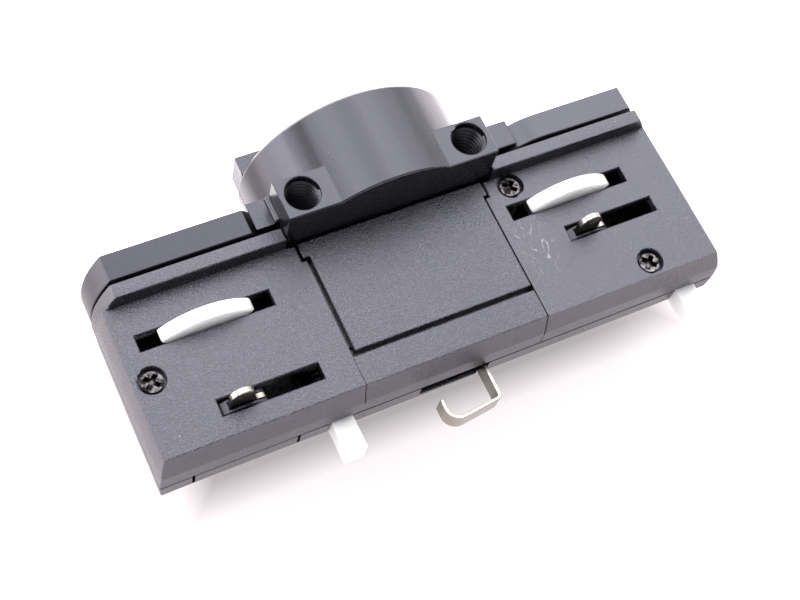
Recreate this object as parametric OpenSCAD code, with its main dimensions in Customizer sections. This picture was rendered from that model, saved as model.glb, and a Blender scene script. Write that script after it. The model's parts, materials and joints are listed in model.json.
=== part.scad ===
// Track light adapter: a two-lever adapter for a powered ceiling track, lying on its side.
// X runs along the track, +Y points to the room, Z is the normal of the flat sides.
// The origin is the mouth of the stem thread, in the middle of the hub's room face.

/* [Body] */
// Thickness of the body that enters the track
body_t = 17; // [15.5:0.5:19]
// Length of the flat side faces
flat_len = 102; // [98:1:108]
// Depth of the body from the flange seat to its deep face
body_depth = 28.3; // [27:0.1:31]
// How far the left end bulges past the flat side
left_bulge = 1.05; // [0.8:0.05:2.4]
// How far the right end bulges past the flat side
right_bulge = 1.75; // [0.8:0.05:2.4]
// How far the flat of the flange stops short of the body's flat side, at the left
left_lip_inset = 2.35; // [1.6:0.05:2.8]
// How far the flat of the flange stops short of the body's flat side, at the right
right_lip_inset = 1.6; // [1.4:0.05:2.8]
// Wall thickness of the mouldings
wall = 1.8; // [1.4:0.1:2]
// Thickness of the flange and of the two levers
flange_t = 23; // [21:0.5:25]
// Height of the flange lip
lip_h = 2.5; // [2:0.1:3.5]
// Height of the steep bevel along the upper deep edge
bevel_h = 4.5; // [3:0.5:6]
// How far that bevel leans in
bevel_in = 1.2; // [0.6:0.1:1.6]
// How far the keying bevel of the lower deep edge leans in
key_in = 3.5; // [2:0.1:4]
// Height of the upright band above the keying bevel
key_band = 3.3; // [1.6:0.1:3.6]
// Height of the groove along the joint of the shell and its covers
parting_h = 0.4; // [0.2:0.05:0.6]
// Depth of that groove
parting_in = 0.5; // [0.3:0.05:0.8]

/* [Rotors] */
// Distance of the left rotor from the left end of the flat side
left_inset = 14.7; // [14.4:0.1:16]
// Distance of the right rotor from the right end of the flat side
right_inset = 19.9; // [19.4:0.1:21]
// Diameter of a rotor shaft
shaft_d = 8; // [7:0.2:8.4]
// Diameter of the pivot at the deep end of a rotor
pivot_d = 4; // [3:0.2:5]
// Radial clearance of a shaft in its bearing
shaft_gap = 0.05; // [0.02:0.01:0.09]
// How far a locking cam stands out of the side face
cam_reach = 3.3; // [2.6:0.1:3.6]
// Width of a locking cam
cam_w = 2.4; // [2:0.1:3]
// Half of the angle that a cam lobe spans
cam_angle = 42; // [34:1:44]
// Depth of the cams below the flange seat
cam_depth = 7.3; // [7:0.1:8]
// Spare length at each end of a cam slot
cam_slot_spare = 1.75; // [0.8:0.05:2]
// Gap between a turning plate and the side of its slot
slot_gap = 0.18; // [0.12:0.02:0.3]

/* [Contacts] */
// Distance of the left contact from the deep face
left_contact_inset = 6.3; // [5.8:0.1:7]
// Depth of the right contact below the flange seat
right_contact_depth = 14.4; // [13.4:0.1:16]
// How far a contact blade stands out of the side face
contact_reach = 4.2; // [3:0.1:4.4]
// Width of a contact blade
blade_w = 4.2; // [3:0.1:5]
// Thickness of the contact sheet
blade_t = 1; // [0.8:0.1:1.2]
// Width of a contact carrier
carrier_w = 2.4; // [2:0.1:2.6]
// Outer radius of the slip ring on a contact
ring_r = 6; // [5.4:0.1:6.2]
// Thickness of the spring strip that feeds a slip ring
brush_t = 0.4; // [0.3:0.05:0.4]
// Width of that strip
brush_w = 2; // [1.6:0.1:2.4]

/* [Levers] */
// Height of a lever
lever_h = 4.8; // [4:0.1:6]
// Gap between a lever and the flange lip
lever_gap = 0.55; // [0.4:0.05:0.8]
// Gap between a lever's round end and the hub base
swing_gap = 0.6; // [0.4:0.05:1]
// Side of the square drive that carries a lever
drive_w = 5; // [4:0.1:5.2]
// Length of that drive
drive_h = 2.8; // [2.4:0.1:3]

/* [Hub] */
// Diameter of the hub
hub_d = 40; // [38:0.5:42]
// Distance from the flange seat to the hub's room face
hub_reach = 18; // [17:0.5:21]
// How far the levers' clearance cuts into the side of a lug
lug_cut = 0.23; // [0:0.01:0.4]
// Height of a lug face above the middle plane
lug_z = 17.4; // [16:0.2:18]
// Width of a lug along the depth
lug_w = 7.4; // [7:0.1:8]
// Distance of a bracket hole from the side of its lug
bracket_inset = 3.95; // [3.7:0.05:4.4]
// Diameter of a bracket hole
bracket_d = 6; // [5:0.1:6.2]
// Radius of the thread in the stem bush
stem_r = 4.5; // [4:0.1:5]
// Length of the stem bush
bush_len = 12; // [10:0.5:12.5]
// Width across the flats of the stem bush
bush_af = 14; // [13:0.5:15]
// How far the two ears stand past the room face
ear_reach = 3.6; // [2:0.2:5]
// Thickness of an ear
ear_t = 7; // [5:0.2:8]

/* [Terminal cover] */
// Width of the strip between the terminal opening and the deep face
deep_strip_w = 6.6; // [6:0.1:8]
// Height of the wider head of the cover
cover_head = 3.1; // [2.6:0.1:4]
// Step at each side of that head
cover_step = 0.75; // [0.5:0.05:1]
// Wide gap at the left and the deep side of the cover
cover_gap = 0.8; // [0.4:0.05:1]
// Fine gap at the right side of the cover
cover_line = 0.15; // [0.1:0.05:0.3]

/* [Interlock plungers] */
// Distance of a plunger from its rotor along the body
plunger_off = 15.8; // [15.6:0.1:16.2]
// Width of a plunger
plunger_w = 3.8; // [3:0.1:4]
// Height of a plunger
plunger_h = 4.2; // [3.4:0.1:4.6]
// How far a plunger stands out of the deep face
plunger_reach = 6; // [5:0.1:8]
// Travel of a plunger
plunger_travel = 4.5; // [3:0.1:4.6]
// Wire diameter of a plunger spring
spring_wire = 0.5; // [0.4:0.05:0.6]

/* [Earth clip] */
// Thickness of the earth strip
strip_t = 0.6; // [0.4:0.05:0.8]
// Width of the earth strip
strip_w = 4; // [3:0.1:4.2]
// Place of the strip's leg along the body
clip_x = 6.4; // [6:0.1:7]
// Length of the hook along the body
clip_len = 10.3; // [8:0.1:11]
// How far the hook stands out of the deep face
clip_reach = 7.3; // [6:0.1:9]

/* [Screws] */
// Diameter of a body screw's head
screw_head_d = 3.7; // [3.4:0.1:4]
// Diameter of a screw's shank
screw_d = 2.2; // [2:0.1:2.6]
// Height of a screw's head
screw_head_h = 1.1; // [0.9:0.1:1.3]
// Depth of a screw head below the side face
screw_sink = 0.6; // [0.3:0.1:1]

/* [Hidden] */
$fn = 64;
tiny = 0.02;
far = 200;
black = "#34333a";
white = "#f3f2ee";
nickel = "#c8c6c2";
zinc = "#77757a";
brass = "#c9a24c";

// Places along the depth
seat_y = -hub_reach;
deep_y = seat_y - body_depth;
lip_y = seat_y + lip_h;
lever_y = lip_y + lever_gap;
lever_top_y = lever_y + lever_h;
hub_foot = 0.5;
hub_y = seat_y + hub_foot;
base_gap = 1;
base_y = lip_y + base_gap;
base_top_y = lever_top_y + swing_gap;
left_contact_depth = body_depth - left_contact_inset;

// Round ends of the body and of the flange, each as [place of its middle, radius]
function end_r(h, bulge) = (h * h + bulge * bulge) / (2 * bulge);
half_t = body_t / 2;
half_flange = flange_t / 2;
left_end_r = end_r(half_t, left_bulge);
right_end_r = end_r(half_t, right_bulge);
left_lip_r = end_r(half_flange, left_bulge + left_lip_inset);
right_lip_r = end_r(half_flange, right_bulge + right_lip_inset);
left_tip_x = -flat_len / 2 - left_bulge;
right_tip_x = flat_len / 2 + right_bulge;
body_ends = [[left_tip_x + left_end_r, left_end_r], [right_tip_x - right_end_r, right_end_r]];
lip_ends = [[left_tip_x + left_lip_r, left_lip_r], [right_tip_x - right_lip_r, right_lip_r]];

// Rotor axes, and what turns about them
left_axis_x = left_inset - flat_len / 2;
right_axis_x = flat_len / 2 - right_inset;
rotor_xs = [left_axis_x, right_axis_x];
in_z = half_t - wall;
knob_inset = 0.2;
knob_r = norm([left_inset - left_lip_inset - knob_inset, half_flange]);
lever_inset = 0.6;
lever_pivot_r = half_flange;
cam_r = half_t + cam_reach;
tip_r = half_t + contact_reach;
carrier_sink = 0.3;
carrier_r = half_t - carrier_sink;
cam_slot_half = sqrt(cam_r * cam_r - in_z * in_z) + cam_slot_spare;
contact_slot_spare = 1.5;
contact_slot_in = blade_w / 2 + contact_slot_spare;
contact_slot_out = sqrt(tip_r * tip_r - in_z * in_z) + 2 * contact_slot_spare;
cam_slot_w = cam_w + 2 * slot_gap;
contact_slot_w = carrier_w + 2 * slot_gap;
pivot_h = 1;
end_play = 0.2;

// Deep edge: outer and inner sections across the body, as [y, z]
draft = 0.15;
bevel_z = half_t - bevel_h;
key_z = -key_band;
key_round = 0.6;
floor_z = -in_z;
body_section = [[seat_y, half_t], [deep_y + draft + bevel_in, half_t], [deep_y + draft, bevel_z],
    [deep_y, 0], [deep_y, key_z], [deep_y + key_in, -half_t], [seat_y, -half_t]];
cavity_section = [[seat_y, in_z], [deep_y + draft + bevel_in + wall, in_z],
    [deep_y + draft + wall, bevel_z], [deep_y + wall, 0], [deep_y + wall, key_z + key_round],
    [deep_y + key_in + wall, floor_z], [seat_y, floor_z]];

// Inner face of the deep wall at a height below the middle plane
function key_wall_y(z) = deep_y + wall
    + key_in * max(0, key_z + key_round - z) / (key_z + key_round - floor_z);

// Plungers and their springs, and the slits beside the latch of the deep wall
plunger_gap = 0.1;
collar_w = plunger_w + 1;
collar_h = 1.5;
plunger_z = -plunger_gap - plunger_h / 2;
collar_y = key_wall_y(plunger_z - plunger_h / 2) + plunger_gap;
spigot_h = 1.5;
spring_gap = 0.25;
spring_r = plunger_h / 2 - spring_wire / 2 - spring_gap;
spring_y = collar_y + collar_h;
spring_stop_y = spring_y + spigot_h + plunger_travel + spring_gap;
spring_turns = 6;
latch_slit = 0.5;
latch_slits = [left_axis_x - 10.1, left_axis_x + 8.1];
rib_t = 1.1;
rail_z = plunger_z - blade_w / 4;

// Terminal opening between the two plunger bays, and the parting lines beside it
opening_x = -left_axis_x - plunger_off - collar_w / 2 - plunger_gap - rib_t;
opening_y = deep_y + deep_strip_w;
head_y = seat_y - cover_head;
head_x = opening_x + cover_step;
cover_lip = 0.2;
ledge_t = 1.4;
ledge_w = 1.9;
part_gap = 0.1;

// Hub: the lugs fill the room between the swing of the two levers
room_x = min(-left_axis_x - knob_r, right_axis_x - lever_pivot_r) - swing_gap;
lug_x = room_x + lug_cut;
lug_top_y = hub_y + lug_w;
bead_r = 0.8;
bracket_x = lug_x - bracket_inset;
bracket_y = hub_y + lug_w / 2 + part_gap;
base_left_x = left_axis_x + knob_r / 2;
base_right_x = right_axis_x - 5.3;
ear_w = 6.8;
ear_x = lug_x - ear_w;
rim = 0.8;
hollow_r = 6.2;
bush_collar_r = bush_af / 2 + 2.2;
bush_collar_h = 2;
bush_gap = 0.05;
hub_screw_x = 13;
hub_screw_y = -5;
hub_seat_z = -9;
hub_screw_len = 16.5;

// Screws: clearances, bosses, and the places of the body screws as [x, y]
screw_gap = 0.1;
recess_gap = 0.45;
boss_wall = 0.6;
lever_sink = 0.1;
lever_screw_len = 7;
lever_screw_room = 0.5;
screw_boss_r = screw_head_d / 2 + recess_gap + boss_wall;
screw_len = half_t + 4;
cross_r = 1.35;
cross_w = 0.8;
cross_h = 0.95;
screw_seat_inset = 2.35;
screw_deep_inset = 4.1;
left_screw = [left_axis_x - 11.6, seat_y - body_depth * 0.49];
right_screws = [[right_axis_x - 8.9, seat_y - screw_seat_inset],
    [right_axis_x + 7.6, deep_y + screw_deep_inset]];
body_screw_places = concat([left_screw], right_screws);

// Feed strips, terminal block and its clamps
brush_z = floor_z + brush_t;
brush_end = 3;
fit_gap = 0.05;
block_room = 3.4;
block_x = opening_x - block_room;
pole_pitch = block_x / 1.5;
poles = [-pole_pitch, 0, pole_pitch];
block_y = key_wall_y(floor_z) + part_gap;
block_len = 14;
block_z = 1.5;
clamp_w = pole_pitch * 0.6;
clamp_len = 10.5;
clamp_inset = 0.6;
clamp_y = block_y + clamp_inset;
clamp_top_z = -1;
clamp_web = 1.5;
wire_r = 1.5;
wire_gap = 0.3;
wire_z = (brush_z + clamp_top_z) / 2;
terminal_screw_r = 1.25;
terminal_screw_room = 0.5;
terminal_slot_w = 0.5;
terminal_slot_h = 0.6;
pole_screw_y = clamp_y + clamp_len * 0.66;

// Earth strip and contact rivets
clip_room = 2.1;
clip_slot_h = 2.5;
clip_slant = 0.8;
clip_bend_r = 1;
clip_turn_r = 2.6;
clip_tip = 4.4;
clip_z = -strip_w - part_gap;
rivet_r = 0.8;
rivet_lobe_r = 1.5;
carrier_web = 1.2;
rivet_at = [blade_w / 2 + 1, ring_r + 0.2];

// Drawing aids: an outline in X and Z swept along Y, a section in Y and Z swept along X
module along_y(y0, y1) {
    translate([0, y1, 0]) rotate([90, 0, 0]) linear_extrude(y1 - y0) children();
}

module along_x(x0, x1) {
    translate([x0, 0, 0]) rotate([90, 0, 90]) linear_extrude(x1 - x0) children();
}

module block(x0, x1, y0, y1, z0, z1) {
    translate([x0, y0, z0]) cube([x1 - x0, y1 - y0, z1 - z0]);
}

module rod_y(x, z, r, y0, y1) {
    translate([x, y1, z]) rotate([90, 0, 0]) cylinder(r = r, h = y1 - y0);
}

module rod_z(x, y, r, z0, z1) {
    translate([x, y, z0]) cylinder(r = r, h = z1 - z0);
}

// Upper or lower side of the middle plane
module half_space(side) {
    block(-far, far, -far, far, min(0, side * far), max(0, side * far));
}

// Long outline of the body, of the flange or of a lever: flat sides and round ends
module outline(t, ends, grow = 0) {
    intersection() {
        union() {
            for (e = ends)
                translate([e.x, 0]) circle(e.y + grow);
            translate([ends[0].x, -t / 2]) square([ends[1].x - ends[0].x, t]);
        }
        translate([-far, -t / 2]) square([2 * far, t]);
    }
}

module body_solid() {
    intersection() {
        along_y(deep_y, seat_y) outline(body_t, body_ends);
        along_x(-far, far) polygon(body_section);
    }
}

module body_cavity() {
    intersection() {
        along_y(deep_y, seat_y) outline(2 * in_z, body_ends, -wall);
        along_x(-far, far) polygon(cavity_section);
    }
}

module lip() {
    along_y(seat_y - tiny, lip_y) outline(flange_t, lip_ends);
}

// Bearings of both rotors in the lip and in the deep wall
module rotor_bores() {
    for (x = rotor_xs) {
        rod_y(x, 0, shaft_d / 2 + shaft_gap, seat_y - 1, lip_y + 1);
        rod_y(x, 0, pivot_d / 2 + shaft_gap, deep_y + wall - pivot_h - end_play,
            key_wall_y(-shaft_d / 2));
    }
}

module cam_slot(x, side) {
    y = seat_y - cam_depth;
    z0 = min(side * in_z, side * half_t) - tiny;
    block(x - cam_slot_half, x + cam_slot_half, y - cam_slot_w / 2, y + cam_slot_w / 2,
        z0, z0 + wall + 2 * tiny);
}

module contact_slot(x, depth) {
    y = seat_y - depth;
    block(x - contact_slot_in, x + contact_slot_out, y - contact_slot_w / 2,
        y + contact_slot_w / 2, in_z - tiny, half_t + tiny);
}

// Column through a cover for a body screw, and the hole in it
module screw_column(p) {
    rod_z(p.x, p.y, screw_boss_r, 0, half_t);
}

module screw_hole(p) {
    rod_z(p.x, p.y, screw_d / 2 + screw_gap, -tiny, half_t);
    rod_z(p.x, p.y, screw_head_d / 2 + recess_gap, half_t - screw_sink - screw_head_h, half_t + 1);
}

// Hub: round stem housing, two pairs of lugs, a flush base between the levers, and two ears
module hub_solid() {
    along_y(hub_y, -rim) circle(hub_d / 2);
    translate([0, -rim - tiny, 0]) rotate([-90, 0, 0])
        cylinder(r1 = hub_d / 2, r2 = hub_d / 2 - rim, h = rim + tiny);
    block(-lug_x, lug_x, hub_y, lug_top_y, -lug_z, lug_z);
    block(base_left_x, base_right_x, base_y, base_top_y, -half_flange, half_flange);
    rod_y(-lug_x, half_flange, bead_r, base_y, base_top_y);
    for (s = [-1, 1])
        block(min(s * ear_x, s * lug_x), max(s * ear_x, s * lug_x), -tiny, ear_reach,
            -ear_t / 2, ear_t / 2);
}

// Room for the levers: round about each axis, and open below for the handle of the right one
module lever_swing() {
    pivot_room = lever_pivot_r + swing_gap;
    rod_y(left_axis_x, 0, knob_r + swing_gap, lip_y, base_top_y + tiny);
    rod_y(right_axis_x, 0, pivot_room, lip_y, base_top_y + tiny);
    block(right_axis_x - pivot_room, right_axis_x, lip_y, base_top_y + tiny, -far, 0);
}

// What the two hub halves leave free: the bush, the wires and the bracket holes
module hub_hollow() {
    bush_shape(bush_gap);
    along_y(seat_y - tiny, -bush_len + tiny) circle(hollow_r);
    for (x = [-bracket_x, bracket_x])
        rod_z(x, bracket_y, bracket_d / 2, -lug_z - 1, lug_z + 1);
}

module bush_shape(gap) {
    reach = gap > 0 ? 1 : 0;
    translate([0, reach, 0]) rotate([90, 0, 0])
        cylinder(r = (bush_af / 2 + gap) / cos(30), h = bush_len + reach + gap, $fn = 6);
    rod_y(0, 0, bush_collar_r + gap, -bush_len / 2 - bush_collar_h / 2 - gap,
        -bush_len / 2 + bush_collar_h / 2 + gap);
}

// Windows of the deep wall for the plungers and the earth strip, and the latch slits
module deep_windows() {
    nose_w = plunger_w / 2 + plunger_gap;
    nose_z = plunger_z - plunger_h / 2 - plunger_gap;
    for (x = rotor_xs)
        block(x + plunger_off - nose_w, x + plunger_off + nose_w, deep_y - 1,
            key_wall_y(nose_z) + part_gap, nose_z, tiny);
    for (x = latch_slits)
        block(x - latch_slit / 2, x + latch_slit / 2, deep_y - 1, deep_y + wall + part_gap, key_z, tiny);
    block(clip_x - clip_len - clip_room, clip_x + strip_t, deep_y - 1, deep_y + wall + part_gap,
        -clip_slot_h, tiny);
    block(clip_x - 2 * strip_t, clip_x + strip_t, deep_y - 1,
        key_wall_y(clip_z - part_gap) + part_gap, clip_z - part_gap, tiny);
}

// Groove round the outside of the body, just above the middle plane
module parting_groove() {
    difference() {
        block(-far, far, deep_y - 1, seat_y - parting_in, -1, parting_h);
        along_y(deep_y + parting_in, seat_y) outline(body_t, body_ends, -parting_in);
    }
}

module deep_strip() {
    difference() {
        intersection() {
            body_solid();
            block(-opening_x, opening_x - part_gap, deep_y - 1, opening_y, -tiny, half_t);
        }
        body_cavity();
        parting_groove();
    }
    block(-opening_x, opening_x - part_gap, opening_y - ledge_w, opening_y + ledge_w,
        in_z - ledge_t, in_z);
}

module lower_walls() {
    x1 = opening_x + rib_t;
    for (s = [-1, 1])
        block(min(s * opening_x, s * x1), max(s * opening_x, s * x1), deep_y + 1, seat_y,
            floor_z - 1, 0);
    for (p = body_screw_places)
        rod_z(p.x, p.y, screw_boss_r, floor_z - 1, 0);
    for (x = rotor_xs) {
        rail_x = x + plunger_off - collar_w / 2 - plunger_gap;
        block(rail_x - rib_t, rail_x + collar_w + 2 * plunger_gap + tiny, spring_stop_y,
            spring_stop_y + rib_t, floor_z - 1, 0);
        block(rail_x - rib_t, rail_x, collar_y, spring_stop_y + tiny, floor_z - 1, rail_z);
    }
}

module brush_way(x0, x1, depth) {
    block(x0, x1, seat_y - depth - brush_w / 2 - part_gap, seat_y - depth + brush_w / 2 + part_gap,
        floor_z, brush_z + part_gap);
}

module lower_shell() {
    color(black) difference() {
        union() {
            intersection() {
                union() {
                    difference() {
                        union() {
                            body_solid();
                            lip();
                        }
                        body_cavity();
                    }
                    intersection() {
                        lower_walls();
                        body_solid();
                    }
                }
                half_space(-1);
            }
            deep_strip();
            difference() {
                intersection() {
                    union() {
                        hub_solid();
                        block(-lug_x, lug_x, seat_y - tiny, hub_y + tiny, -half_flange, 0);
                    }
                    half_space(-1);
                }
                lever_swing();
            }
        }
        hub_hollow();
        rotor_bores();
        deep_windows();
        for (x = rotor_xs)
            cam_slot(x, -1);
        for (p = body_screw_places)
            rod_z(p.x, p.y, screw_d / 2 + tiny, half_t - screw_len - end_play, 1);
        for (s = [-1, 1]) {
            rod_z(s * hub_screw_x, hub_screw_y, screw_d / 2 + screw_gap, -hub_d, 1);
            rod_z(s * hub_screw_x, hub_screw_y, screw_head_d / 2 + recess_gap, -hub_d, hub_seat_z);
        }
        brush_way(left_axis_x - brush_end - part_gap, -block_x, left_contact_depth);
        brush_way(block_x, right_axis_x + brush_end + part_gap, right_contact_depth);
    }
}

// Upper half of one end of the body, with its lip, before its slots are cut
module end_cover(side) {
    line = side > 0 ? opening_x : -opening_x;
    x0 = side > 0 ? line : -far;
    x1 = side > 0 ? far : line;
    difference() {
        intersection() {
            union() {
                difference() {
                    body_solid();
                    intersection() {
                        body_cavity();
                        block(x0 + (side > 0 ? wall : 0), x1 - (side > 0 ? 0 : wall), -far, far, -1, far);
                    }
                }
                lip();
            }
            block(x0, x1, -far, far, 0, far);
        }
        parting_groove();
        block(side > 0 ? 0 : -head_x, side > 0 ? head_x : 0, head_y, far, -1, far);
        block(side > 0 ? 0 : -lug_x - part_gap, side > 0 ? lug_x + part_gap : 0, seat_y - tiny,
            far, -1, far);
        along_y(seat_y - tiny, lip_y + 1) circle(hub_d / 2 + part_gap);
    }
    block(side > 0 ? line - ledge_w : line - part_gap, side > 0 ? line + part_gap : line + ledge_w,
        opening_y + ledge_w + part_gap, head_y - part_gap, in_z - ledge_t, in_z);
}

module left_cover() {
    color(black) difference() {
        union() {
            end_cover(-1);
            intersection() {
                screw_column(left_screw);
                body_solid();
            }
        }
        rotor_bores();
        cam_slot(left_axis_x, 1);
        contact_slot(left_axis_x, left_contact_depth);
        screw_hole(left_screw);
    }
}

module right_cover() {
    color(black) difference() {
        union() {
            end_cover(1);
            for (p = right_screws)
                intersection() {
                    screw_column(p);
                    body_solid();
                }
        }
        rotor_bores();
        cam_slot(right_axis_x, 1);
        contact_slot(right_axis_x, right_contact_depth);
        for (p = right_screws)
            screw_hole(p);
    }
}

module hub_cap() {
    color(black) difference() {
        intersection() {
            hub_solid();
            half_space(1);
        }
        lever_swing();
        hub_hollow();
        for (s = [-1, 1])
            rod_z(s * hub_screw_x, hub_screw_y, screw_d / 2 + tiny, -1, hub_seat_z + hub_screw_len);
    }
}

// Clip-in cover over the terminals, shaped as a T, with two guide ribs inside
module terminal_cover() {
    right_x = opening_x - cover_line;
    rib_x = opening_x - ledge_w - ledge_t - cover_gap;
    top_y = seat_y + cover_lip;
    color(black) {
        block(-opening_x + cover_gap, right_x, opening_y + cover_gap, top_y, in_z, half_t);
        block(-head_x + cover_gap / 2, head_x - cover_line, head_y + cover_gap / 2, top_y, in_z, half_t);
        for (x = [-rib_x - ledge_t, rib_x])
            block(x, x + ledge_t, opening_y + ledge_w + cover_gap, head_y, in_z - ledge_t, in_z + tiny);
    }
}

module stem_bush() {
    color(zinc) difference() {
        bush_shape(0);
        rod_y(0, 0, stem_r, -bush_len - 1, 1);
    }
}

// Cross-head screw standing along +Z, its head's top at z
module cross_screw(z, len) {
    difference() {
        union() {
            rod_z(0, 0, screw_head_d / 2, z - screw_head_h, z);
            rod_z(0, 0, screw_d / 2, z - len, z - screw_head_h + tiny);
        }
        for (a = [45, 135])
            rotate([0, 0, a])
                block(-cross_r, cross_r, -cross_w / 2, cross_w / 2, z - cross_h, z + 1);
    }
}

module body_screws() {
    color(zinc) for (p = body_screw_places)
        translate([p.x, p.y, 0]) cross_screw(half_t - screw_sink, screw_len - screw_sink);
}

module hub_screws() {
    color(zinc) for (s = [-1, 1])
        translate([s * hub_screw_x, hub_screw_y, 0]) mirror([0, 0, 1])
            cross_screw(-hub_seat_z + screw_head_h, hub_screw_len);
}

module clamp_space(x, gap) {
    block(x - clamp_w / 2 - gap, x + clamp_w / 2 + gap, clamp_y - gap, clamp_y + clamp_len + gap,
        brush_z - gap, clamp_top_z + gap);
}

module terminal_block() {
    tail_x = -clamp_w / 2;
    color(white) difference() {
        block(-block_x, block_x, block_y, block_y + block_len, floor_z, block_z);
        for (x = poles) {
            clamp_space(x, fit_gap);
            rod_z(x, pole_screw_y, terminal_screw_r + terminal_screw_room, wire_z, block_z + 1);
            rod_y(x, wire_z, wire_r + wire_gap, clamp_y + clamp_len - 1, block_y + block_len + 1);
        }
        brush_way(-block_x - 1, -pole_pitch + clamp_w / 2 + part_gap, left_contact_depth);
        brush_way(pole_pitch - clamp_w / 2 - part_gap, block_x + 1, right_contact_depth);
        block(tail_x, tail_x + 2 * strip_t, block_y - 1, clamp_y, clip_z - part_gap, block_z + 1);
    }
}

module terminal_clamps() {
    color(brass) for (x = poles)
        difference() {
            clamp_space(x, 0);
            rod_y(x, wire_z, wire_r, clamp_y + clamp_web, clamp_y + clamp_len + 1);
            rod_z(x, pole_screw_y, terminal_screw_r + tiny, wire_z, clamp_top_z + 1);
        }
}

module terminal_screws() {
    top_z = block_z - part_gap;
    color(zinc) for (x = poles)
        difference() {
            rod_z(x, pole_screw_y, terminal_screw_r, wire_z, top_z);
            translate([x, pole_screw_y, 0])
                block(-wire_r, wire_r, -terminal_slot_w / 2, terminal_slot_w / 2,
                    top_z - terminal_slot_h, block_z);
        }
}

// Points of an arc from angle a0 to a1 about c, and the outline of a bent strip
function arc(c, r, a0, a1, n = 6) = [for (i = [0:n]) c + r * [cos(a0 + (a1 - a0) * i / n),
    sin(a0 + (a1 - a0) * i / n)]];

module earth_clip() {
    out_y = deep_y - clip_reach;
    left_x = clip_x - clip_len;
    in_y = block_y - part_gap;
    tail_x = -clamp_w / 2 + part_gap;
    lean = 84;
    bend_at = [clip_x - clip_bend_r, out_y + clip_slant + clip_bend_r];
    turn_at = [left_x + clip_turn_r, out_y + clip_turn_r];
    tip_y = out_y + clip_tip;
    outer = concat([[clip_x, in_y]], arc(bend_at, clip_bend_r, 0, -lean),
        arc(turn_at, clip_turn_r, -lean, -180), [[left_x, tip_y]]);
    inner = concat([[left_x + strip_t, tip_y]], arc(turn_at, clip_turn_r - strip_t, -180, -lean),
        arc(bend_at, clip_bend_r - strip_t, -lean, 0),
        [[clip_x - strip_t, in_y - strip_t], [tail_x, in_y - strip_t], [tail_x, clamp_y],
         [tail_x + strip_t, clamp_y], [tail_x + strip_t, in_y]]);
    color(nickel) translate([0, 0, clip_z]) linear_extrude(strip_w) polygon(concat(outer, inner));
}

// Feed strip on the floor, from a clamp to under the slip ring
module brush(x0, x1, depth) {
    color(nickel) block(min(x0, x1), max(x0, x1), seat_y - depth - brush_w / 2,
        seat_y - depth + brush_w / 2, floor_z, brush_z);
}

module left_brush() {
    brush(left_axis_x - brush_end, -pole_pitch + clamp_w / 2, left_contact_depth);
}

module right_brush() {
    brush(right_axis_x + brush_end, pole_pitch - clamp_w / 2, right_contact_depth);
}

// White rotor: shaft, deep pivot, double locking cam and square drive
module cam_lobe() {
    s = 2 * cam_r;
    intersection() {
        circle(cam_r);
        polygon([[0, 0], [s * sin(cam_angle), s * cos(cam_angle)], [-s * sin(cam_angle), s * cos(cam_angle)]]);
    }
}

module rotor(x) {
    y = seat_y - cam_depth;
    foot_y = key_wall_y(-shaft_d / 2) + end_play;
    neck_y = lever_y - end_play;
    color(white) difference() {
        union() {
            rod_y(x, 0, shaft_d / 2, foot_y, neck_y);
            rod_y(x, 0, pivot_d / 2, deep_y + wall - pivot_h, foot_y + tiny);
            translate([x, 0, 0]) along_y(y - cam_w / 2, y + cam_w / 2) {
                circle(ring_r);
                cam_lobe();
                rotate(180) cam_lobe();
            }
            block(x - drive_w / 2, x + drive_w / 2, neck_y - tiny, neck_y + drive_h, -drive_w / 2, drive_w / 2);
        }
        rod_y(x, 0, screw_d / 2 + tiny, lever_top_y - lever_screw_len - lever_screw_room, far);
    }
}

module left_rotor() {
    rotor(left_axis_x);
}

module right_rotor() {
    rotor(right_axis_x);
}

// Contact sheet: slip ring, blade with a round tip, and a lobe for the rivet
module contact(x, depth) {
    y = seat_y - depth;
    color(nickel) translate([x, 0, 0]) along_y(y - blade_t / 2, y + blade_t / 2) difference() {
        union() {
            circle(ring_r);
            translate([-blade_w / 2, 0]) square([blade_w, tip_r - blade_w / 2]);
            translate([0, tip_r - blade_w / 2]) circle(blade_w / 2);
            translate(rivet_at) circle(rivet_lobe_r);
        }
        circle(shaft_d / 2 + shaft_gap);
        translate(rivet_at) circle(rivet_r + shaft_gap);
    }
}

module left_contact() {
    contact(left_axis_x, left_contact_depth);
}

module right_contact() {
    contact(right_axis_x, right_contact_depth);
}

// Black carrier that holds a contact on both faces and runs just under the slot
module carrier(x, depth) {
    y = seat_y - depth;
    s = 2 * carrier_r;
    a0 = -26;
    a1 = 32;
    color(black) translate([x, 0, 0]) difference() {
        along_y(y - carrier_w / 2, y + carrier_w / 2) difference() {
            union() {
                circle(shaft_d / 2 + carrier_web);
                intersection() {
                    circle(carrier_r);
                    polygon([[0, 0], [s * sin(a0), s * cos(a0)], [s * sin(a1), s * cos(a1)]]);
                }
            }
            circle(shaft_d / 2 + shaft_gap);
            translate(rivet_at) circle(rivet_r + shaft_gap);
        }
        rod_y(0, 0, ring_r + part_gap, y - blade_t / 2 - fit_gap, y + blade_t / 2 + fit_gap);
        block(-blade_w / 2 - part_gap, far, y - blade_t / 2 - fit_gap, y + blade_t / 2 + fit_gap, 0, far);
    }
}

module left_contact_carrier() {
    carrier(left_axis_x, left_contact_depth);
}

module right_contact_carrier() {
    carrier(right_axis_x, right_contact_depth);
}

module rivet(x, depth) {
    y = seat_y - depth;
    color(zinc) rod_y(x + rivet_at.x, rivet_at.y, rivet_r, y - carrier_w / 2, y + carrier_w / 2);
}

module left_contact_rivet() {
    rivet(left_axis_x, left_contact_depth);
}

module right_contact_rivet() {
    rivet(right_axis_x, right_contact_depth);
}

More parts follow.
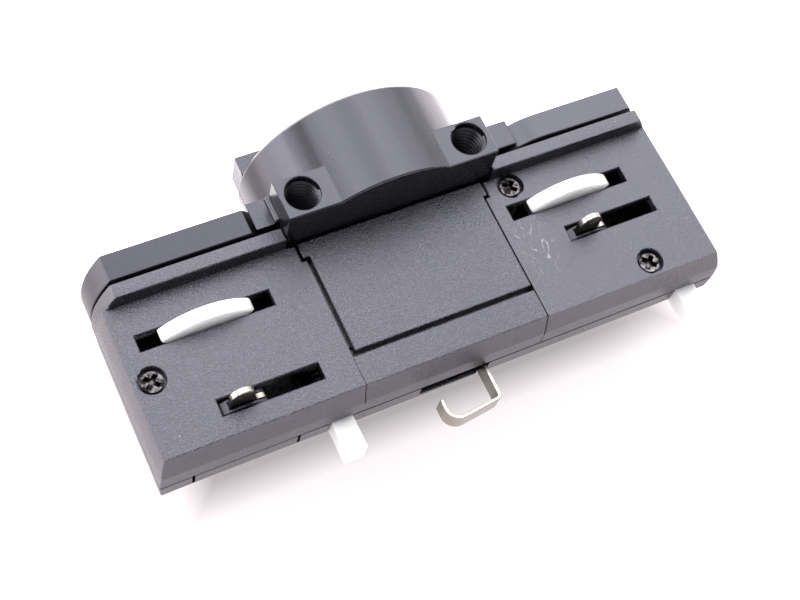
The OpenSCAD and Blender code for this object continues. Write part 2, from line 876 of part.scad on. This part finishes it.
// Levers: the left one is a disc with two flats, the right one a bar that turns about its round end
module lever_socket(x) {
    block(x - drive_w / 2 - shaft_gap, x + drive_w / 2 + shaft_gap, lever_y - 1,
        lever_y + drive_h, -drive_w / 2 - shaft_gap, drive_w / 2 + shaft_gap);
    rod_y(x, 0, screw_d / 2 + screw_gap, lever_y, lever_top_y + 1);
    rod_y(x, 0, screw_head_d / 2 + recess_gap, lever_top_y - lever_sink - screw_head_h, lever_top_y + 1);
}

module left_lever() {
    color(black) difference() {
        along_y(lever_y, lever_top_y) intersection() {
            translate([left_axis_x, 0]) circle(knob_r);
            outline(flange_t, lip_ends, -knob_inset);
        }
        lever_socket(left_axis_x);
    }
}

module right_lever() {
    color(black) difference() {
        along_y(lever_y, lever_top_y) intersection() {
            union() {
                translate([right_axis_x, 0]) circle(lever_pivot_r);
                translate([right_axis_x, -far]) square([far, 2 * far]);
            }
            outline(flange_t, lip_ends, -lever_inset);
        }
        lever_socket(right_axis_x);
    }
}

module lever_screw(x) {
    color(zinc) translate([x, 0, 0]) rotate([-90, 0, 0]) cross_screw(lever_top_y - lever_sink, lever_screw_len);
}

module left_lever_screw() {
    lever_screw(left_axis_x);
}

module right_lever_screw() {
    lever_screw(right_axis_x);
}

// Interlock plunger: square nose through the deep wall, collar behind it, spigot for the spring
module plunger(x) {
    z0 = plunger_z - plunger_h / 2;
    z1 = plunger_z + plunger_h / 2;
    cx = x + plunger_off;
    color(white) {
        block(cx - plunger_w / 2, cx + plunger_w / 2, deep_y - plunger_reach, collar_y + tiny, z0, z1);
        block(cx - collar_w / 2, cx + collar_w / 2, collar_y, spring_y, z0, z1);
        rod_y(cx, plunger_z, spring_r - spring_wire / 2 - part_gap, spring_y - tiny, spring_y + spigot_h);
    }
}

module left_plunger() {
    plunger(left_axis_x);
}

module right_plunger() {
    plunger(right_axis_x);
}

// Coil spring between a plunger's collar and its stop, swept round by round
module spring(x) {
    steps = 10;
    sides = 6;
    rings = spring_turns * steps;
    y0 = spring_y + spring_wire / 2;
    len = spring_stop_y - spring_y - spring_wire;
    points = [for (i = [0:rings], j = [0:sides - 1])
        let (a = 360 * i / steps, b = 360 * j / sides, r = spring_r + spring_wire / 2 * cos(b))
        [x + plunger_off + r * cos(a), y0 + len * i / rings + spring_wire / 2 * sin(b), plunger_z + r * sin(a)]];
    walls = [for (i = [0:rings - 1], j = [0:sides - 1])
        [i * sides + j, (i + 1) * sides + j, (i + 1) * sides + (j + 1) % sides, i * sides + (j + 1) % sides]];
    ends = [[for (j = [0:sides - 1]) j], [for (j = [sides - 1:-1:0]) rings * sides + j]];
    color(nickel) polyhedron(points, concat(walls, ends));
}

module left_plunger_spring() {
    spring(left_axis_x);
}

module right_plunger_spring() {
    spring(right_axis_x);
}

lower_shell();
left_cover();
right_cover();
hub_cap();
terminal_cover();
stem_bush();
body_screws();
hub_screws();
terminal_block();
terminal_clamps();
terminal_screws();
earth_clip();
left_brush();
right_brush();
left_rotor();
left_contact_carrier();
left_contact();
left_contact_rivet();
left_lever();
left_lever_screw();
right_rotor();
right_contact_carrier();
right_contact();
right_contact_rivet();
right_lever();
right_lever_screw();
left_plunger();
left_plunger_spring();
right_plunger();
right_plunger_spring();
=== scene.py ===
import json
import math

import bmesh
import bpy
from mathutils import Matrix, Vector
from mathutils.geometry import intersect_point_line


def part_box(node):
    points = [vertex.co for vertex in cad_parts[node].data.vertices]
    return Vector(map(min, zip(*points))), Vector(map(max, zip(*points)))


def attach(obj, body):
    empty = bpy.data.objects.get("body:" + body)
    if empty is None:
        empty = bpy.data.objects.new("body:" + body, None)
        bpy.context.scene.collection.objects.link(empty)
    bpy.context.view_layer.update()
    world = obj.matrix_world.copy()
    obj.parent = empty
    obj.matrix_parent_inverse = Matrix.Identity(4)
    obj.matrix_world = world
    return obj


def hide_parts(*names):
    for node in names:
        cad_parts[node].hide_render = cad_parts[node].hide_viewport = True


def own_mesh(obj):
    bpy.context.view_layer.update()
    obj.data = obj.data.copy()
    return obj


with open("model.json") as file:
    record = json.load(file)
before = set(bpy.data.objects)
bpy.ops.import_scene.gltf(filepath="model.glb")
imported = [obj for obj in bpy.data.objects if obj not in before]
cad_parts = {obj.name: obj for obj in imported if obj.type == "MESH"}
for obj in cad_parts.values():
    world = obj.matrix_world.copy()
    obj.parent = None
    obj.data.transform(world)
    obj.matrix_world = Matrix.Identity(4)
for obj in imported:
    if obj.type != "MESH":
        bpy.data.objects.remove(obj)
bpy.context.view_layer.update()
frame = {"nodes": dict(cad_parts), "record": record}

# Camera: above the deep edge and the left end, where the photograph was taken from.
# It is rolled, because the real adapter leans on its hub while this model lies level.
MM = 0.001
to_right = (0.8915, -0.4230, 0.1623)
to_top = (0.3229, 0.8445, 0.4272)
to_viewer = (-0.3178, -0.3284, 0.8895)
camera_place = (-80.64 * MM, -111.06 * MM, 219.06 * MM)
camera = bpy.data.objects.new("camera", bpy.data.cameras.new("camera"))
camera.data.sensor_width = 36
camera.data.lens = 64.87
bpy.context.collection.objects.link(camera)
camera.matrix_world = Matrix([*zip(to_right, to_top, to_viewer, camera_place), (0, 0, 0, 1)])
bpy.context.scene.camera = camera

# Table and studio: a white tent of panels, whose seams give the streaks along the round hub. It is
# open towards the deep edge, with a dim card low in the opening. The table glows; the glow is
# dimmed under the adapter as a painted shadow and raised beside the left end and the hub as
# painted light.
table_z = -21.6 * MM
cloud_size = 25 * MM
body_box = (5 * MM, -23 * MM, 0), (49 * MM, 23 * MM, 0)
beside_hub_box = (43 * MM, 22 * MM, 0), (87 * MM, 30 * MM, 0)
panel_greys = ((-180, 0), (-150, 0.2), (-95, 0.35), (-84, 0.88), (-76, 0.97), (-66, 0.9),
               (-60, 0.5), (-54, 0.05), (-45, 0.1), (-38, 0.5), (-33, 0.84), (-12, 0.83), (4, 0.4),
               (20, 0.78), (34, 0.57), (48, 0.44), (66, 0.24), (80, 0.34), (95, 0.42), (150, 0.3))


def linear(hex_colour):
    values = [int(hex_colour[i:i + 2], 16) / 255 for i in (1, 3, 5)]
    return (*[v / 12.92 if v <= 0.04045 else ((v + 0.055) / 1.055) ** 2.4 for v in values], 1)


def add_node(tree, kind, stops=(), **settings):
    node = tree.nodes.new(kind)
    if stops:
        marks = node.color_ramp.elements
        marks.remove(marks[1])
        marks[0].position = stops[0][0]
        for position, _ in stops[1:]:
            marks.new(position)
        for mark, (_, tone) in zip(marks, stops):
            mark.color = linear(tone) if isinstance(tone, str) else (tone, tone, tone, 1)
    for name, value in settings.items():
        if name in node.bl_rna.properties:
            setattr(node, name, value)
            continue
        key = int(name[1:]) if name[0] == "_" else name.replace("_", " ")
        if isinstance(value, bpy.types.NodeSocket):
            tree.links.new(value, node.inputs[key])
        else:
            node.inputs[key].default_value = value
    return node


def new_material(name):
    material = bpy.data.materials.new(name)
    material.use_nodes = True
    material.node_tree.nodes.clear()
    return material, material.node_tree


bpy.ops.object.select_all(action="DESELECT")
bpy.ops.mesh.primitive_plane_add(size=6, location=(0, 0, table_z))
table = bpy.context.object
table.name = "table"
sheet, tree = new_material("table_with_painted_shadow")
spot = add_node(tree, "ShaderNodeTexCoord").outputs["Object"]
cloud = add_node(tree, "ShaderNodeTexNoise", Scale=1 / cloud_size, Detail=2.0, Vector=spot)
shade = add_node(tree, "ShaderNodeValToRGB", stops=((0, "#766b6f"), (1, "#796e72")),
                 Fac=cloud.outputs["Fac"])
outside = []
for middle, half in (body_box, beside_hub_box):
    offset = add_node(tree, "ShaderNodeVectorMath", operation="SUBTRACT", _0=spot, _1=middle)
    reach = add_node(tree, "ShaderNodeVectorMath", operation="ABSOLUTE", _0=offset.outputs[0])
    past = add_node(tree, "ShaderNodeVectorMath", operation="SUBTRACT", _0=reach.outputs[0],
                    _1=half)
    sides = add_node(tree, "ShaderNodeSeparateXYZ", Vector=past.outputs[0])
    farthest = add_node(tree, "ShaderNodeMath", operation="MAXIMUM", _0=sides.outputs["X"],
                        _1=sides.outputs["Y"])
    outside.append(farthest.outputs[0])
# Painted shadow under the adapter and painted light beside the hub and the left end, in the glow.
off_body = add_node(tree, "ShaderNodeMapRange", From_Min=-4 * MM, From_Max=76 * MM,
                    Value=outside[0])
painted_table_shadow = add_node(tree, "ShaderNodeValToRGB", Fac=off_body.outputs["Result"],
                stops=((0, 0.12), (0.08, 0.27), (0.6, 0.29), (1, 1)))
painted_glow_by_hub = add_node(tree, "ShaderNodeMapRange", From_Max=8 * MM, To_Min=0.78, To_Max=0.0,
                  Value=outside[1])
painted_shadow_with_hub_glow = add_node(tree, "ShaderNodeMath", operation="MAXIMUM", _0=painted_table_shadow.outputs["Color"],
                    _1=painted_glow_by_hub.outputs["Result"])
axes = add_node(tree, "ShaderNodeSeparateXYZ", Vector=spot)
painted_glow_by_left_end = add_node(tree, "ShaderNodeMapRange", From_Min=-60 * MM, From_Max=-46 * MM,
                       To_Min=4.2, To_Max=3.2, Value=axes.outputs["X"])
painted_table_glow = add_node(tree, "ShaderNodeMath", operation="MULTIPLY", _0=painted_shadow_with_hub_glow.outputs[0],
                _1=painted_glow_by_left_end.outputs["Result"])
skin = add_node(tree, "ShaderNodeBsdfPrincipled", Roughness=0.9, Base_Color=shade.outputs["Color"],
                Emission_Color=linear("#fffafb"), Emission_Strength=painted_table_glow.outputs[0])
add_node(tree, "ShaderNodeOutputMaterial", Surface=skin.outputs[0])
table.data.materials.append(sheet)

for name, place, aim, size, watts in (
        ("softbox", (0.36, 0.27, 0.6), (0.02, 0.0, 0), (0.9, 0.8), 2.2),
        ("left_strip", (-0.5, 0.1, 0.3), (-0.1, 0.0, -0.02), (0.4, 0.22), 0.6)):
    light = bpy.data.lights.new(name, "AREA")
    light.shape = "RECTANGLE"
    light.size, light.size_y = size
    light.energy = watts
    fixture = bpy.data.objects.new(name, light)
    bpy.context.collection.objects.link(fixture)
    facing = (Vector(place) - Vector(aim)).to_track_quat("Z", "Y")
    fixture.matrix_world = Matrix.Translation(place) @ facing.to_matrix().to_4x4()

world = bpy.data.worlds.new("studio")
bpy.context.scene.world = world
world.use_nodes = True
tree = world.node_tree
tree.nodes.clear()
heading = add_node(tree, "ShaderNodeTexCoord").outputs["Generated"]
axes = add_node(tree, "ShaderNodeSeparateXYZ", Vector=heading)
ahead = add_node(tree, "ShaderNodeMapRange", From_Min=-1.0, Value=axes.outputs["Y"])
opening = add_node(tree, "ShaderNodeValToRGB", Fac=ahead.outputs["Result"],
                   stops=((0, 0.14), (0.19, 0.14), (0.28, 0.014), (0.35, 0.014), (0.575, 1)))
lean = add_node(tree, "ShaderNodeMath", operation="ARCTAN2", _0=axes.outputs["X"],
                _1=axes.outputs["Z"])
around = add_node(tree, "ShaderNodeMapRange", From_Min=-math.pi, From_Max=math.pi,
                  Value=lean.outputs[0])
panels = add_node(tree, "ShaderNodeValToRGB", Fac=around.outputs["Result"],
                  stops=[((degrees + 180) / 360, grey) for degrees, grey in panel_greys])
tent = add_node(tree, "ShaderNodeMix", data_type="RGBA", blend_type="MULTIPLY", _0=1.0,
                _6=opening.outputs["Color"], _7=panels.outputs["Color"])
sky = add_node(tree, "ShaderNodeBackground", Color=tent.outputs[2], Strength=7.0)
add_node(tree, "ShaderNodeOutputWorld", Surface=sky.outputs[0])
bpy.context.scene.view_settings.view_transform = "Standard"

# Lower shell: one black moulding with the lower half of the body and of the hub, and the
# strip between the two side covers. ABS from an eroded mould: near black, soft edges, and a
# matt grain that scatters the light to grey, with lighter flecks in its colour as painted glints.
# The grain is drawn about twice as coarse as real.
bodies = frame["record"]["behaviour"]["bodies"]
body_of = {node: body for body, nodes in bodies.items() for node in nodes}
moulded_edge = 0.25 * MM


def mark_soft_edges(mesh, edge):
    room = 2.1 * edge
    least, most, straight = (math.radians(angle) for angle in (40, 140, 179.9))
    corners = [vertex.co.copy() for vertex in mesh.vertices]
    meeting = [[] for _ in corners]
    for side in mesh.edges:
        a, b = side.vertices
        meeting[a].append(corners[b] - corners[a])
        meeting[b].append(corners[a] - corners[b])
    rims = {}
    for face in mesh.polygons:
        for key in face.edge_keys:
            rims.setdefault(key, set()).update(face.edge_keys)
    shape = bmesh.new()
    shape.from_mesh(mesh)
    outer = [side.is_convex for side in shape.edges]
    shape.free()
    weights = mesh.attributes.new("bevel_weight_edge", "FLOAT", "EDGE")
    for side in mesh.edges:
        if not side.select or not outer[side.index]:
            continue
        a, b = side.vertices
        along = corners[b] - corners[a]
        middle = (corners[a] + corners[b]) / 2
        cramped = any(leaving.length < room and least < leaving.angle(ahead) < straight
                      for end, ahead in ((a, -along), (b, along)) for leaving in meeting[end])
        for c, d in rims[side.key]:
            if a in (c, d) or b in (c, d):
                continue
            share = intersect_point_line(middle, corners[c], corners[d])[1]
            gap = corners[c].lerp(corners[d], min(max(share, 0), 1)) - middle
            cramped = cramped or gap.length < room and least < gap.angle(along, 0) < most
        weights.data[side.index].value = 0.0 if cramped else 1.0


def rounded_copy(node, edge, material, smooth_angle=22):
    mesh = frame["nodes"][node].data.copy()
    piece = bpy.data.objects.new(node + "_finished", mesh)
    bpy.context.collection.objects.link(piece)
    bpy.ops.object.select_all(action="DESELECT")
    piece.select_set(True)
    bpy.context.view_layer.objects.active = piece
    bpy.ops.mesh.customdata_custom_splitnormals_clear()
    bpy.ops.object.mode_set(mode="EDIT")
    bpy.ops.mesh.select_all(action="SELECT")
    bpy.ops.mesh.remove_doubles(threshold=0.12 * edge)
    bpy.ops.mesh.dissolve_limited(angle_limit=math.radians(0.5))
    bpy.ops.mesh.select_mode(type="EDGE")
    bpy.ops.mesh.select_all(action="DESELECT")
    bpy.ops.mesh.edges_select_sharp(sharpness=math.radians(38))
    bpy.ops.object.mode_set(mode="OBJECT")
    mark_soft_edges(mesh, edge)
    rounding = piece.modifiers.new("soft_edge", "BEVEL")
    rounding.width = edge
    rounding.segments = 2
    rounding.limit_method = "WEIGHT"
    rounding.use_clamp_overlap = False
    bpy.ops.object.modifier_apply(modifier=rounding.name)
    bpy.ops.object.shade_smooth_by_angle(angle=math.radians(smooth_angle))
    flats = piece.modifiers.new("flat_faces", "WEIGHTED_NORMAL")
    flats.keep_sharp = True
    flats.weight = 100
    bpy.ops.object.modifier_apply(modifier=flats.name)
    mesh.materials.clear()
    mesh.materials.append(material)
    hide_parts(node)
    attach(piece, body_of[node])
    return piece


def moulded_abs(name, grain, relief, gloss, shine, painted_glint_flecks, flow=None, scuff_at=None):
    patch = 4 * MM if flow else 14 * MM
    dust_gap = 6 * MM
    hair_gap, break_gap = 2.2 * MM, 1.6 * MM
    scuff_half = (4.4 * MM, 8 * MM, 3 * MM)
    material, tree = new_material(name)
    place = add_node(tree, "ShaderNodeTexCoord").outputs["Object"]
    grit = add_node(tree, "ShaderNodeTexNoise", Scale=1 / grain, Detail=2.0, Roughness=0.5,
                    Vector=place)
    bump = add_node(tree, "ShaderNodeBump", Strength=1.0, Distance=relief,
                    Height=grit.outputs["Fac"])
    drawn = add_node(tree, "ShaderNodeMapping", Scale=flow or (1, 1, 1), Vector=place)
    wear = add_node(tree, "ShaderNodeTexNoise", Scale=1 / patch, Detail=4.0, Roughness=0.6,
                    Vector=drawn.outputs["Vector"])
    sheen = add_node(tree, "ShaderNodeMapRange", From_Min=0.3, From_Max=0.7, To_Min=gloss[0],
                     To_Max=gloss[1], Value=wear.outputs["Fac"])
    # Painted glints: the lighter flecks of the grain's colour stand in for its sparkle.
    tone = add_node(tree, "ShaderNodeValToRGB", stops=[*zip((0.45, 0.72), painted_glint_flecks)],
                    Fac=grit.outputs["Fac"])
    dots = add_node(tree, "ShaderNodeTexVoronoi", Scale=1 / dust_gap, Vector=place)
    dust = add_node(tree, "ShaderNodeMapRange", From_Min=0.018, From_Max=0.01,
                    Value=dots.outputs["Distance"])
    marks = dust.outputs["Result"]
    if scuff_at:
        turned = add_node(tree, "ShaderNodeMapping", Rotation=(0, 0, 0.5), Scale=(1, 0.45, 1),
                          Vector=place)
        lines = add_node(tree, "ShaderNodeTexNoise", Scale=1 / hair_gap, Detail=1.5,
                         Distortion=0.5, Vector=turned.outputs["Vector"])
        off = add_node(tree, "ShaderNodeMath", operation="SUBTRACT", _0=lines.outputs["Fac"],
                       _1=0.5)
        width = add_node(tree, "ShaderNodeMath", operation="ABSOLUTE", _0=off.outputs[0])
        hair = add_node(tree, "ShaderNodeMapRange", From_Min=0.013, From_Max=0.002,
                        Value=width.outputs[0])
        centred = add_node(tree, "ShaderNodeMapping", vector_type="TEXTURE", Location=scuff_at,
                           Scale=scuff_half, Vector=place)
        fade = add_node(tree, "ShaderNodeTexGradient", gradient_type="SPHERICAL",
                        Vector=centred.outputs["Vector"])
        broken = add_node(tree, "ShaderNodeTexNoise", Scale=1 / break_gap, Detail=1.0,
                          Vector=place)
        kept = add_node(tree, "ShaderNodeMapRange", From_Min=0.4, From_Max=0.58,
                        Value=broken.outputs["Fac"])
        near = add_node(tree, "ShaderNodeMath", operation="MULTIPLY", _0=hair.outputs["Result"],
                        _1=fade.outputs["Fac"])
        torn = add_node(tree, "ShaderNodeMath", operation="MULTIPLY", _0=near.outputs[0],
                        _1=kept.outputs["Result"])
        both = add_node(tree, "ShaderNodeMath", operation="MAXIMUM", _0=marks, _1=torn.outputs[0])
        marks = both.outputs[0]
    colour = add_node(tree, "ShaderNodeMix", data_type="RGBA", _0=marks,
                      _6=tone.outputs["Color"], _7=linear("#918e94"))
    skin = add_node(tree, "ShaderNodeBsdfPrincipled", IOR=1.54, Specular_IOR_Level=shine,
                    Specular_Tint=linear("#ececff"), Base_Color=colour.outputs[2],
                    Roughness=sheen.outputs["Result"], Normal=bump.outputs["Normal"])
    add_node(tree, "ShaderNodeOutputMaterial", Surface=skin.outputs[0])
    return material


coarse_abs = moulded_abs("coarse_grained_abs", grain=0.22 * MM, relief=0.1 * MM, gloss=(0.22, 0.3),
                         shine=0.7, painted_glint_flecks=("#020203", "#3a383e"))
rounded_copy("lower_shell", moulded_edge, coarse_abs)

# Side covers and terminal cover: thinner mouldings of the same ABS with a finer grain. The
# side covers are screwed down, the terminal cover is clipped in. Handling left a few hair-fine
# pale scuffs on the right cover, beside the terminal cover.
fine_abs = moulded_abs("fine_grained_abs", grain=0.2 * MM, relief=0.09 * MM, gloss=(0.22, 0.3),
                       shine=0.72, painted_glint_flecks=("#020203", "#3a383e"))
scuffed_abs = moulded_abs("scuffed_abs", grain=0.2 * MM, relief=0.085 * MM, gloss=(0.22, 0.3),
                          shine=0.77, painted_glint_flecks=("#050506", "#302e33"),
                          scuff_at=(21.0 * MM, -32.5 * MM, 8.5 * MM))
for node, material in (("left_cover", fine_abs), ("terminal_cover", coarse_abs),
                       ("right_cover", scuffed_abs)):
    rounded_copy(node, moulded_edge, material)

# Hub cap: the same ABS from a smoother mould, screwed to the lower shell from below. The melt
# ran along the stem, which leaves soft streaks of gloss in that direction.
streaked_abs = moulded_abs("streaked_satin_abs", grain=0.3 * MM, relief=0.02 * MM,
                           gloss=(0.2, 0.32), shine=0.57, painted_glint_flecks=("#0b0b0d", "#1a181c"),
                           flow=(1, 0.06, 1))
rounded_copy("hub_cap", moulded_edge, streaked_abs)

# Levers and contact carriers: plain satin ABS. Each lever sits on the square end of its rotor
# and is held by one screw. The left lever is handled more and has a duller skin.
satin_abs = moulded_abs("satin_abs", grain=0.3 * MM, relief=0.02 * MM, gloss=(0.3, 0.36),
                        shine=0.68, painted_glint_flecks=("#0b0b0d", "#151418"))
dulled_abs = moulded_abs("dulled_abs", grain=0.3 * MM, relief=0.02 * MM, gloss=(0.3, 0.36),
                         shine=0.48, painted_glint_flecks=("#0b0b0d", "#151418"))
for node, material in (("left_lever", dulled_abs), ("right_lever", satin_abs),
                       ("left_contact_carrier", dulled_abs), ("right_contact_carrier", dulled_abs)):
    rounded_copy(node, moulded_edge, material)

# Rotors, plungers and terminal block: white acetal, moulded smooth and a little waxy, with
# faint clouds. The rotors carry the locking cams, the plungers slide in the deep wall.
acetal, tree = new_material("white_acetal")
place = add_node(tree, "ShaderNodeTexCoord").outputs["Object"]
cloud = add_node(tree, "ShaderNodeTexNoise", Scale=1 / (5 * MM), Detail=3.0, Vector=place)
tone = add_node(tree, "ShaderNodeValToRGB", stops=((0, "#d9d8da"), (1, "#e6e5e6")),
                Fac=cloud.outputs["Fac"])
skin = add_node(tree, "ShaderNodeBsdfPrincipled", Roughness=0.35, IOR=1.48,
                Base_Color=tone.outputs["Color"], Subsurface_Weight=1.0,
                Subsurface_Radius=(1, 1, 1), Subsurface_Scale=4 * MM)
add_node(tree, "ShaderNodeOutputMaterial", Surface=skin.outputs[0])
for node in ("left_rotor", "right_rotor", "left_plunger", "right_plunger"):
    rounded_copy(node, 0.35 * MM, acetal)
rounded_copy("terminal_block", 0.15 * MM, acetal)

# Contacts, feed strips and earth clip: stamped nickel-plated strip, bright, darkened by painted
# shade where it lies deep in the body, with rolling lines that are drawn wider than real so that
# they show.
nickel, tree = new_material("nickel_plate")
place = add_node(tree, "ShaderNodeTexCoord").outputs["Object"]
along = add_node(tree, "ShaderNodeMapping", Scale=(0.2, 1, 1), Vector=place)
lines = add_node(tree, "ShaderNodeTexNoise", Scale=1 / (0.4 * MM), Detail=2.0,
                 Vector=along.outputs["Vector"])
sheen = add_node(tree, "ShaderNodeMapRange", To_Min=0.16, To_Max=0.34, Value=lines.outputs["Fac"])
# Painted shade: the colour darkens to the dark tone where occlusion finds the strip deep inside.
painted_shade_occlusion = add_node(tree, "ShaderNodeAmbientOcclusion", Distance=3 * MM)
painted_shade_mask = add_node(tree, "ShaderNodeMapRange", From_Min=0.5, From_Max=0.95,
                 Value=painted_shade_occlusion.outputs["AO"])
tone = add_node(tree, "ShaderNodeMix", data_type="RGBA", _0=painted_shade_mask.outputs["Result"],
                _6=linear("#3d3936"), _7=linear("#9c958e"))
skin = add_node(tree, "ShaderNodeBsdfPrincipled", Base_Color=tone.outputs[2], Metallic=1.0,
                Roughness=sheen.outputs["Result"])
add_node(tree, "ShaderNodeOutputMaterial", Surface=skin.outputs[0])
for node in ("left_contact", "right_contact", "earth_clip", "left_brush", "right_brush"):
    rounded_copy(node, 0.1 * MM, nickel)

# Plunger springs: coiled nickel-plated wire between a plunger's collar and a rib of the lower
# shell.
for side in ("left", "right"):
    node = side + "_plunger_spring"
    low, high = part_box(node)
    coil = rounded_copy(node, 0.02 * MM, nickel, smooth_angle=70)
    middle = [(a + b) / 2 for a, b in zip(low, high)]
    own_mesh(coil)

# Terminal clamps: sawn and drilled brass blocks that sit in the terminal block, dulled by a
# thin tarnish in small clouds.
brass, tree = new_material("dull_brass")
place = add_node(tree, "ShaderNodeTexCoord").outputs["Object"]
tarnish = add_node(tree, "ShaderNodeTexNoise", Scale=1 / (1.5 * MM), Detail=3.0, Vector=place)
tone = add_node(tree, "ShaderNodeValToRGB", stops=((0, "#8a6a34"), (1, "#c39d55")),
                Fac=tarnish.outputs["Fac"])
sheen = add_node(tree, "ShaderNodeMapRange", To_Min=0.25, To_Max=0.45,
                 Value=tarnish.outputs["Fac"])
skin = add_node(tree, "ShaderNodeBsdfPrincipled", Metallic=1.0, Base_Color=tone.outputs["Color"],
                Roughness=sheen.outputs["Result"])
add_node(tree, "ShaderNodeOutputMaterial", Surface=skin.outputs[0])
rounded_copy("terminal_clamps", 0.1 * MM, brass)


# Screws and rivets: steel with dark zinc plate, stained in the turned faces and black with
# painted shade in the recesses.
def zinc_plate(name, tones):
    stain_size, painted_shade_reach = 0.9 * MM, 0.8 * MM
    material, tree = new_material(name)
    place = add_node(tree, "ShaderNodeTexCoord").outputs["Object"]
    stain = add_node(tree, "ShaderNodeTexNoise", Scale=1 / stain_size, Detail=3.0, Vector=place)
    tone = add_node(tree, "ShaderNodeValToRGB", stops=tones, Fac=stain.outputs["Fac"])
    # Painted shade: the colour turns black where occlusion finds a recess.
    painted_shade_occlusion = add_node(tree, "ShaderNodeAmbientOcclusion", Distance=painted_shade_reach)
    painted_shade_mask = add_node(tree, "ShaderNodeMapRange", From_Min=0.55, From_Max=0.8,
                     Value=painted_shade_occlusion.outputs["AO"])
    painted_shade_colour = add_node(tree, "ShaderNodeMix", data_type="RGBA", _0=painted_shade_mask.outputs["Result"],
                      _6=linear("#0a0909"), _7=tone.outputs["Color"])
    sheen = add_node(tree, "ShaderNodeMapRange", To_Min=0.28, To_Max=0.45,
                     Value=stain.outputs["Fac"])
    skin = add_node(tree, "ShaderNodeBsdfPrincipled", Metallic=1.0, Base_Color=painted_shade_colour.outputs[2],
                    Roughness=sheen.outputs["Result"])
    add_node(tree, "ShaderNodeOutputMaterial", Surface=skin.outputs[0])
    return material


stained_zinc = zinc_plate("dark_zinc_plate", ((0.42, "#171516"), (0.66, "#6e696b")))
for node in ("body_screws", "hub_screws", "terminal_screws", "left_contact_rivet",
             "right_contact_rivet", "left_lever_screw", "right_lever_screw"):
    rounded_copy(node, 0.08 * MM, stained_zinc)

# Stem bush and lug holes: a steel bush with a fine thread for the stem, evenly zinc plated, and
# threads moulded in the two holes through the lugs. Each thread is one ridge wound up its wall.
# The bush gets the same painted shade in its recesses.
plain_zinc = zinc_plate("plain_zinc_plate", ((0, "#3a3738"), (1, "#676264")))
rounded_copy("stem_bush", 0.15 * MM, plain_zinc)
pitch = 1.0 * MM


def thread_ridge(name, radius, length, start, along_stem, material):
    crest, foot, sunk = 0.35 * pitch, 0.85 * pitch, 0.04 * MM
    bpy.ops.object.select_all(action="DESELECT")
    bpy.ops.mesh.primitive_plane_add(size=1, rotation=(math.pi / 2, 0, 0))
    ridge = bpy.context.object
    ridge.name = name
    bpy.ops.object.transform_apply(location=False, rotation=True, scale=False)
    bpy.ops.object.mode_set(mode="EDIT")
    bpy.ops.mesh.select_all(action="SELECT")
    bpy.ops.transform.resize(value=(crest + sunk, 1, foot))
    bpy.ops.transform.translate(value=(radius - crest / 2 + sunk / 2, 0, 0))
    bpy.ops.mesh.delete(type="ONLY_FACE")
    bpy.ops.object.mode_set(mode="OBJECT")
    for vertex in ridge.data.vertices:
        if vertex.co.x < radius - crest / 2:
            vertex.co.z *= 0.25
    winding = ridge.modifiers.new("winding", "SCREW")
    winding.axis = "Z"
    winding.screw_offset = pitch
    winding.iterations = int(length / pitch)
    winding.steps = winding.render_steps = 36
    bpy.ops.object.modifier_apply(modifier=winding.name)
    bpy.ops.object.mode_set(mode="EDIT")
    bpy.ops.mesh.select_all(action="SELECT")
    bpy.ops.mesh.fill_holes(sides=4)
    bpy.ops.mesh.normals_make_consistent(inside=False)
    bpy.ops.object.mode_set(mode="OBJECT")
    bpy.ops.object.shade_smooth_by_angle(angle=math.radians(25))
    ridge.rotation_euler = (-math.pi / 2, 0, 0) if along_stem else (0, 0, 0)
    ridge.location = start
    bpy.ops.object.transform_apply(location=True, rotation=True, scale=False)
    ridge.data.materials.append(material)
    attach(ridge, "housing")


low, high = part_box("stem_bush")
thread_ridge("stem_thread", 4.5 * MM, 11 * MM, (0, low[1] + 0.5 * MM, 0), True, plain_zinc)
mounts = frame["record"]["mounts"]
lug_holes = next(mount for mount in mounts if mount["name"] == "bracket_holes")
for name, side in (("left_lug_thread", -1), ("right_lug_thread", 1)):
    x = side * lug_holes["dims"]["spacing_x_mm"] / 2 * MM
    thread_ridge(name, 3 * MM, 33 * MM, (x, lug_holes["pos_m"][1], -16.5 * MM), False, satin_abs)
